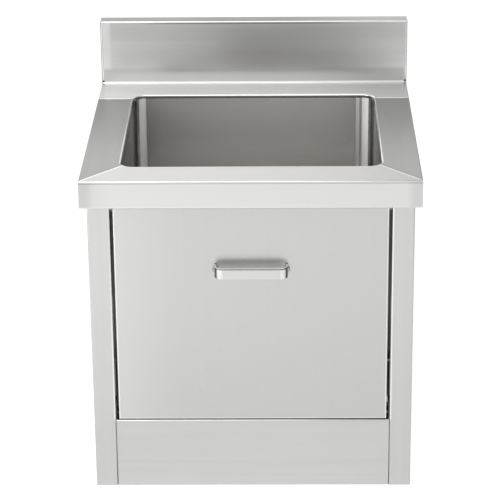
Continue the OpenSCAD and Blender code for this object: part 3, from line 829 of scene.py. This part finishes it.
class SINK_OT_access_panel(bpy.types.Operator):
    """Finish the access panel's skin and the plate behind it"""

    bl_idname = "sink.access_panel"
    bl_label = "Access panel"

    def execute(self, context):
        steel = settings("steel")
        rough = steel.roughness
        skin = brushed(
            "panel_steel_front", steel.panel, rough, "upright", 0.4, 0.018, panel_touches
        )
        plate = brushed("panel_steel_back", steel.cabinet, rough, "upright", 0.8)
        dress(skin, 0, "panel_skin")
        dress(plate, settings("fittings").edge, "panel_back")
        return {"FINISHED"}


class SINK_OT_handle(bpy.types.Operator):
    """Make the strap handle and the round feet that it stands on"""

    bl_idname = "sink.handle"
    bl_label = "Handle"

    def execute(self, context):
        self.strap()
        self.feet()
        dress(turned_steel("handle_stud_steel", settings("steel").bright, 0.16), 0, "handle_studs")
        return {"FINISHED"}

    def strap(self):
        """The strap: two legs with their bends, and the grip between them."""
        low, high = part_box("handle")
        x_mid, y_mid = high.x - STRAP / 2, low.y + STRAP / 2
        bend_x, bend_y = -x_mid + STRAP_BEND, y_mid + STRAP_BEND
        left = [(-x_mid, y, -1, 0) for y in (high.y, (high.y + bend_y) / 2)]
        for turn in levels(math.pi, 3 * QUARTER, 14):
            dx, dy = math.cos(turn), math.sin(turn)
            left.append((bend_x + STRAP_BEND * dx, bend_y + STRAP_BEND * dy, dx, dy))
        left += [(x, y_mid, 0, -1) for x in levels(bend_x, 0, 6)[1:]]
        path = left + [(-x, y, -dx, dy) for x, y, dx, dy in reversed(left[:-1])]
        half_t, half_h = STRAP / 2, (high.z - low.z) / 2
        corners = [(-half_t, -half_h), (half_t, -half_h), (half_t, half_h), (-half_t, half_h)]
        section = rounded(corners, 0.8 * MM, 4)
        centre_z = (low.z + high.z) / 2
        bm = bmesh.new()
        add_loft(bm, [
            [(x + dx * u, y + dy * u, centre_z + v) for u, v in section]
            for x, y, dx, dy in path
        ])
        satin = brushed(
            "handle_satin", settings("steel").handle, 0.17, "across", 0.35, 0.03, handle_touches
        )
        piece("handle_strap", bm, satin, "panel", "handle_steel", "handle")

    def feet(self):
        """The round feet, with a bore and a chamfer towards the access panel."""
        strap_low, strap_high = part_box("handle")
        low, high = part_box("handle_spacers")
        radius, depth, bore = (high.z - low.z) / 2, high.y - low.y, 2.6 * MM
        outline = rounded(
            [(bore, 0), (radius, 0), (radius, depth * 0.7), (radius * 0.86, depth), (bore, depth)],
            0.4 * MM,
        )
        bm = bmesh.new()
        for side in SIDES:
            at = (side * (strap_high.x - STRAP / 2), high.y, (strap_low.z + strap_high.z) / 2)
            add_turned(bm, outline, placed(at, QUARTER), 48)
        bright = turned_steel("handle_foot_steel", settings("steel").bright, 0.14, foot_touches)
        piece("handle_feet", bm, bright, "panel", "bright_steel", "handle_spacers")


class SINK_OT_welds(bpy.types.Operator):
    """Lay the ground weld lines on the rim and the spot welds down the back"""

    bl_idname = "sink.welds"
    bl_label = "Welds"

    def execute(self, context):
        fittings = settings("fittings")
        rng = random.Random(SEED)
        low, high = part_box("front_rim_rail")
        rail_low, rail_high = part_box("right_rim_rail")
        rim, width = high.z, fittings.weld_width
        corner, mitre = Vector((high.x, low.y, rim)), Vector((rail_low.x, high.y, rim))
        way = (corner - mitre).normalized()
        start, end = mitre + way * 1.5 * MM, corner - way * 3 * MM
        cross_start = Vector((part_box("bowl_walls")[1].x + 2 * MM, rail_high.y, rim))
        cross_end = Vector((high.x - 2.2 * MM, rail_high.y, rim))
        bm = bmesh.new()
        for a, b in ((start, end), (cross_start, cross_end)):
            self.mirrored(bm, rng, a, b, width, fittings.weld_rise)
        # Upright lines at both ends of the splash, where its caps meet its face
        x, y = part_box("splash_end_caps")[1].x - 2.4 * MM, splash_face()
        foot, top = rim + 6.5 * MM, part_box("backsplash")[1].z - 3 * MM
        self.mirrored(bm, rng, Vector((x, y, foot)), Vector((x, y, top)), 2 * MM, 0.1 * MM, -BACK)
        # The weld lines are pale: partly the polish of ground welds, partly painted highlight.
        weld = brushed("weld_steel", PALE[:3], 0.12, "level", 0.2, 0.02, weld_touches)
        piece("weld_lines", bm, weld, "cabinet", "rim_steel")

        # Thin dark strips beside the weld lines, laid a hair above the sheet as painted shade.
        bm = bmesh.new()
        shade_rise = 0.05 * MM
        beside = Vector((-way.y, way.x, 0)) * (width / 2 + 0.7 * MM)
        near, far = start + beside, end + beside - way * 2 * MM
        self.mirrored(bm, rng, near, far, 1.5 * MM, shade_rise)
        beside = -BACK * (width / 2 + 0.9 * MM)
        near, far = cross_start + beside, cross_end + beside
        self.mirrored(bm, rng, near, far, 2.2 * MM, shade_rise)
        shade = brushed("weld_shade", (0.17, 0.17, 0.165), 0.35, "level", 0.3, 0.1)
        piece("weld_shade_lines", bm, shade, "cabinet", "rim_steel")
        self.notch_shade_plugs(rim)
        self.spot_welds(rng, fittings)
        return {"FINISHED"}

    def spot_welds(self, rng, fittings):
        """Shallow rings down both seams of the back, not quite in line."""
        low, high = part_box("right_side_panel")
        rise, dip, inset, margin = 0.12 * MM, 0.02 * MM, 11 * MM, 30 * MM
        shares = (0, 1.25, 1.25, 1.1, 0.95, 0.6, 0)
        heights = (-rise, -rise, 0, rise, rise * 0.4, dip, dip)
        outline = [(fittings.spot_radius * k, z) for k, z in zip(shares, heights)]
        bm = bmesh.new()
        for side in SIDES:
            for z in levels(low.z + margin, high.z - margin, fittings.spots - 1):
                x = side * (high.x - inset + rng.uniform(-0.8, 0.8) * MM)
                at = (x, high.y, z + rng.uniform(-1, 1) * MM)
                add_turned(bm, outline, placed(at, -QUARTER), 24)
        mill = mill_sheet("spot_weld_steel", settings("steel").hidden, 0.42)
        piece("spot_welds", bm, mill, "cabinet", "cabinet_steel")

    def mirrored(self, bm, rng, a, b, *section):
        """The same ridge at both sides of the sink."""
        for side in SIDES:
            ends = [Vector((side * p.x, p.y, p.z)) for p in (a, b)]
            self.ridge(bm, rng, *ends, *section)

    def notch_shade_plugs(self, rim):
        """Black plugs set back in the relief notches at the foot of the splash, as painted shade
        for the holes there.
        """
        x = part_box("splash_end_caps")[1].x - 3.15 * MM
        sizes = Vector((2.3, 0.8, 2.2)) * MM
        bm = bmesh.new()
        for side in SIDES:
            centre = Vector((side * x, splash_face() + 0.75 * MM, rim + 2.2 * MM))
            made = bmesh.ops.create_icosphere(bm, subdivisions=3, radius=1)
            for v in made["verts"]:
                # The power pushes the ball's sides out towards those of a box.
                boxy = [math.copysign(abs(c) ** 0.6, c) * r for c, r in zip(v.co, sizes)]
                v.co = centre + Vector(boxy)
        black = moulded("notch_shade_black", settings("fittings").rubber, 0.6, 0.0006, 0.00003)
        piece("notch_shade_plugs", bm, black, "cabinet", "rubber")

    def ridge(self, bm, rng, a, b, width, height, out=UP):
        """One low, slightly uneven ridge from a to b, which tapers at its ends."""
        across = (b - a).normalized().cross(out)
        count = max(8, int((b - a).length / (1.5 * MM)))
        sunk = -0.2 * MM
        sections = []
        for k in range(count + 1):
            t = k / count
            taper = min(1.0, 8 * min(t, 1 - t))
            half = width / 2 * (0.5 + 0.5 * taper) * rng.uniform(0.92, 1.08)
            rise = height * (0.2 + 0.8 * taper) * rng.uniform(0.8, 1.1)
            at = a.lerp(b, t)
            outline = ((-1, sunk), (-1, 0), (-0.45, rise), (0.45, rise), (1, 0), (1, sunk))
            sections.append([at + across * half * u + out * v for u, v in outline])
        add_loft(bm, sections)


def hexagon(across_corners):
    """Shape that pulls a ring in to a hexagon with chamfered corners."""
    flat = across_corners * math.cos(math.pi / 6)

    def shape(radius, turn, height):
        return min(radius, flat / math.cos(turn % (math.pi / 3) - math.pi / 6))
    return shape


def thread(pitch, depth):
    """Shape that winds a thread round the rings that stand at the crest."""
    def shape(radius, turn, height):
        if radius < depth * 2:
            return radius
        phase = (height / pitch - turn / (2 * math.pi)) % 1.0
        return radius - depth * abs(2 * phase - 1)
    return shape


class SINK_OT_fixings(bpy.types.Operator):
    """Make the studs, nuts, rivets, pins and screws"""

    bl_idname = "sink.fixings"
    bl_label = "Fixings"

    def execute(self, context):
        zinc = zinc_plate("zinc", settings("steel").zinc, 0.30)
        self.rim_fixings(zinc, settings("fittings").thread_pitch)
        self.rivets(zinc)
        self.screws(zinc)
        self.pins()
        dress(zinc, 0.15 * MM, "rim_washers", "strike_plates", "strike_rivets", "handle_nuts")
        return {"FINISHED"}

    def rim_fixings(self, zinc, pitch):
        """The threaded studs under the rim and their chamfered nuts."""
        low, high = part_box("rim_studs")
        nut_low, nut_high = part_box("rim_nuts")
        r = 3 * MM
        corners = r * 1.85
        top, chamfer, play, lead = nut_high.z - nut_low.z, 0.8 * MM, 0.05 * MM, 0.5 * MM
        nut = [
            (r + play, 0.3 * MM), (r + lead, 0), (corners - chamfer, 0), (corners, lead),
            (corners, top - lead), (corners - chamfer, top), (r + play, top),
        ]
        count = 6 * round((high.z - low.z) / pitch)
        stud = [(0, low.z), (r - 0.7 * MM, low.z)]
        stud += [(r, z) for z in levels(low.z + 0.4 * MM, high.z, count)] + [(0, high.z)]
        studs, nuts = bmesh.new(), bmesh.new()
        for x in (low.x + r, high.x - r):
            for y in (low.y + r, high.y - r):
                add_turned(studs, stud, placed((x, y, 0)), 24, thread(pitch, 0.45 * MM))
                add_turned(nuts, nut, placed((x, y, nut_low.z)), 48, hexagon(corners))
        piece("rim_stud_threads", studs, zinc, "cabinet", "zinc_steel", "rim_studs")
        piece("rim_hex_nuts", nuts, zinc, "cabinet", "zinc_steel", "rim_nuts")

    def rivets(self, zinc):
        """Domed rivets through the hook plates and the stiles' returns."""
        low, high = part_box("hook_rivets")
        mid_y = (low.y + high.y) / 2
        head, head_t, r, tail_r = 3.4 * MM, 1 * MM, 2 * MM, 3 * MM
        end = -(head_t + HOOK_PLATE + SHEET)
        tail = end + head_t
        dome = [(head * math.sin(a), head_t * math.cos(a)) for a in levels(0, QUARTER, 6)]
        outline = [(0, dome[0][1])] + dome[1:] + [(r, 0), (r, tail)]
        outline += [(tail_r, tail), (2.6 * MM, end + 0.2 * MM), (0, end)]
        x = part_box("hook_brackets")[1].x - HOOK_PLATE
        bm = bmesh.new()
        for side in SIDES:
            for z in (low.z + head, high.z - head):
                add_turned(bm, outline, placed((side * x, mid_y, z), -side * QUARTER, "Y"), 32)
        piece("hook_rivet_domes", bm, zinc, "cabinet", "zinc_steel", "hook_rivets")

    def screws(self, zinc):
        """Pan-headed screws with a cross recess, up through the catches."""
        low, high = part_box("catch_screws")
        head, head_t, r = 4 * MM, 2.5 * MM, 2 * MM
        foot, neck = low.z, low.z + head_t
        dome = ((0, 0.9), (0.2, 0.8), (0.42, 0.05), (0.72, 0.25), (0.93, 0.9), (1, 1.7))
        pan = [(head * part, foot + up * MM) for part, up in dome] + [(head, neck), (r, neck)]
        pan += [(r, z) for z in levels(neck + 0.3 * MM, high.z - 0.8 * MM, 60)] + [(0, high.z)]
        wound = thread(1.4 * MM, 0.35 * MM)

        def shape(radius, turn, height):
            if height > neck:
                return wound(radius, turn, height)
            if radius < head * 0.5:
                return radius * (0.45 + 0.55 * abs(math.cos(2 * turn)) ** 3)
            return radius

        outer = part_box("catch_housings")[1].x - CATCH_EDGE
        bm = bmesh.new()
        for side in SIDES:
            for x in (outer, outer - CATCH_SCREWS):
                add_turned(bm, pan, placed((side * x, (low.y + high.y) / 2, 0)), 48, shape)
        piece("catch_pan_screws", bm, zinc, "cabinet", "zinc_steel", "catch_screws")

    def pins(self):
        """The headed pins that the access panel turns on."""
        low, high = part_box("pivot_pins")
        mid = (low + high) / 2
        head, head_t, r = high.z - mid.z, 2.5 * MM, 3 * MM
        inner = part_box("pivot_blocks")[1].x - PIVOT_BLOCK
        span = high.x - inner
        outline = rounded(
            [(0, -head_t), (head, -head_t), (head, 0), (r, 0), (r, span), (0, span)], 0.5 * MM
        )
        bm = bmesh.new()
        for side in SIDES:
            place = placed((side * inner, mid.y, mid.z), side * QUARTER, "Y")
            add_turned(bm, outline, place, 40)
        bright = turned_steel("pin_steel", settings("steel").bright, 0.16, pin_touches)
        piece("pivot_pins_turned", bm, bright, "pins", "bright_steel", "pivot_pins")


class SINK_OT_catches(bpy.types.Operator):
    """Finish the magnetic catches and the panel's nylon blocks"""

    bl_idname = "sink.catches"
    bl_label = "Catches and blocks"

    def execute(self, context):
        fittings = settings("fittings")
        nylon = moulded("nylon_moulding", fittings.nylon, 0.42, 0.0006, 0.00003)
        magnet = moulded("magnet_block", fittings.magnet, 0.38, 0.0004, 0.00002)
        dress(nylon, 0.5 * MM, "catch_housings", "pivot_blocks")
        dress(magnet, 0.2 * MM, "catch_magnets")
        return {"FINISHED"}


class SINK_OT_waste(bpy.types.Operator):
    """Finish the strainer, its seals and nuts, and the tailpiece"""

    bl_idname = "sink.waste"
    bl_label = "Waste"

    def execute(self, context):
        fittings = settings("fittings")
        bright = turned_steel("waste_steel", settings("steel").bright, 0.16)
        rubber = moulded("seal_rubber", fittings.rubber, 0.55, 0.0005, 0.00003)
        nylon = moulded("nut_nylon", fittings.nylon, 0.40, 0.0006, 0.00003)
        fibre = pressed_fibre("fibre_ring", fittings.fibre, 0.7)
        dress(bright, 0.3 * MM, "strainer_body", "tailpiece")
        dress(rubber, 0.3 * MM, "flange_seal", "sink_washer", "tailpiece_washer")
        dress(fibre, 0.15 * MM, "friction_ring")
        dress(nylon, 0.6 * MM, "lock_nut", "coupling_nut")
        return {"FINISHED"}


class SINK_OT_basket(bpy.types.Operator):
    """Finish the lift-out basket, its stopper and its knob"""

    bl_idname = "sink.basket"
    bl_label = "Basket"

    def execute(self, context):
        bright = turned_steel("basket_steel", settings("steel").bright, 0.15)
        rubber = moulded("stopper_rubber", settings("fittings").rubber, 0.5, 0.0005, 0.00003)
        dress(bright, 0.2 * MM, "basket", "basket_knob")
        dress(rubber, 0.5 * MM, "basket_stopper")
        return {"FINISHED"}


class SINK_OT_stage(bpy.types.Operator):
    """Set up the camera, the floor, the surroundings and the lights"""

    bl_idname = "sink.stage"
    bl_label = "Stage"

    def execute(self, context):
        stage = settings("stage")
        context.scene.view_settings.view_transform = "Standard"
        self.camera(context, stage)
        self.floor(stage)
        self.surroundings(context, stage)
        self.lamp("key", (-1.7, -1.3, 1.35), (1.4, 1.4), stage.key)
        self.lamp("fill", (2.6, -2.2, 1.8), (1.8, 1.8), stage.fill)
        self.lamp("top", (0.0, -1.25, 2.65), (2.2, 1.2), stage.top)
        return {"FINISHED"}

    def camera(self, context, stage):
        """The camera, turned right by yaw, down by pitch and then leant by roll."""
        data = bpy.data.cameras.new("camera")
        data.lens = stage.lens
        data.sensor_width = 36
        data.clip_end = 200
        eye = stand("camera", data)
        pitch, yaw = stage.pitch, stage.yaw
        level = math.cos(pitch)
        ahead = Vector((math.sin(yaw) * level, math.cos(yaw) * level, -math.sin(pitch)))
        right = Vector((math.cos(yaw), -math.sin(yaw), 0))
        above = right.cross(ahead)
        c, s = math.cos(stage.roll), math.sin(stage.roll)
        right, above = c * right + s * above, c * above - s * right
        turn = Matrix((right, above, -ahead)).transposed().to_4x4()
        eye.matrix_world = Matrix.Translation(stage.eye) @ turn
        context.scene.camera = eye

    def in_metal(self, shader):
        """1 for what metal and glass show, and 0 for all other light."""
        return shader.ray("Glossy").greatest(shader.ray("Transmission"))

    def floor(self, stage):
        """A plain floor that looks white to the camera."""
        bm = bmesh.new()
        bmesh.ops.create_grid(bm, x_segments=8, y_segments=8, size=30)
        mesh = bpy.data.meshes.new("floor")
        bm.to_mesh(mesh)
        bm.free()
        plane = stand("floor", mesh)
        s = Shader("floor_paint")
        lift = s.ray("Camera") * stage.floor_lift + self.in_metal(s) * stage.floor_gloss
        matt = s.node("ShaderNodeBsdfDiffuse", None, {"Color": rgba(stage.floor)})
        glow = s.node("ShaderNodeEmission", None, {"Color": WHITE, "Strength": lift})
        mesh.materials.append(s.close(s.node("ShaderNodeAddShader", None, {0: matt, 1: glow})))

    def surroundings(self, context, stage):
        """White for the camera, plain for matt surfaces and darker to the right in metal."""
        world = bpy.data.worlds.new("surroundings")
        world.use_nodes = True
        context.scene.world = world
        s = Shader("", world.node_tree)
        across = s.part(s.node("ShaderNodeTexCoord", output="Generated"), "X")
        gloss = (stage.shine - across * stage.falloff).limited(0.6, 1.0)
        matt = stage.ambient + self.in_metal(s) * (gloss - stage.ambient)
        sky = {"Color": WHITE, "Strength": matt.greatest(s.ray("Camera"))}
        s.close(s.node("ShaderNodeBackground", None, sky), "ShaderNodeOutputWorld")

    def lamp(self, name, at, size, radiance):
        """A soft box of the given brightness that faces the sink."""
        data = bpy.data.lights.new(name, "AREA")
        data.shape = "RECTANGLE"
        data.size, data.size_y = size
        data.energy = radiance * math.pi * size[0] * size[1]
        box = stand(name, data)
        box.location = at
        aim = Vector((0, 0, 0.35)) - Vector(at)
        box.rotation_euler = aim.to_track_quat("-Z", "Y").to_euler()


# ---- Add-on ----

STEPS = (
    SINK_OT_rim, SINK_OT_bowl, SINK_OT_cabinet, SINK_OT_access_panel, SINK_OT_handle,
    SINK_OT_welds, SINK_OT_fixings, SINK_OT_catches, SINK_OT_waste, SINK_OT_basket, SINK_OT_stage,
)


class SINK_PT_parts(bpy.types.Panel):
    """Lists the sink's pieces and settings in the sidebar"""

    bl_label = "Mop service sink"
    bl_idname = "SINK_PT_parts"
    bl_space_type = "VIEW_3D"
    bl_region_type = "UI"
    bl_category = "Sink"

    def draw(self, context):
        for step in STEPS:
            self.layout.operator(step.bl_idname)
        for group in map(settings, ("steel", "fittings", "stage")):
            box = self.layout.box()
            for key in type(group).__annotations__:
                box.prop(group, key)


CLASSES = (SteelSettings, FittingSettings, StageSettings, *STEPS, SINK_PT_parts)


def register():
    """Adds the settings, the operators and the sidebar panel."""
    for cls in CLASSES:
        bpy.utils.register_class(cls)
    bpy.types.Scene.sink_steel = PointerProperty(type=SteelSettings)
    bpy.types.Scene.sink_fittings = PointerProperty(type=FittingSettings)
    bpy.types.Scene.sink_stage = PointerProperty(type=StageSettings)


def unregister():
    """Takes them away again."""
    del bpy.types.Scene.sink_stage
    del bpy.types.Scene.sink_fittings
    del bpy.types.Scene.sink_steel
    for cls in reversed(CLASSES):
        bpy.utils.unregister_class(cls)


def main():
    """Runs every step."""
    register()
    for step in STEPS:
        getattr(bpy.ops.sink, step.bl_idname.partition(".")[2])()


if __name__ == "__main__":
    main()
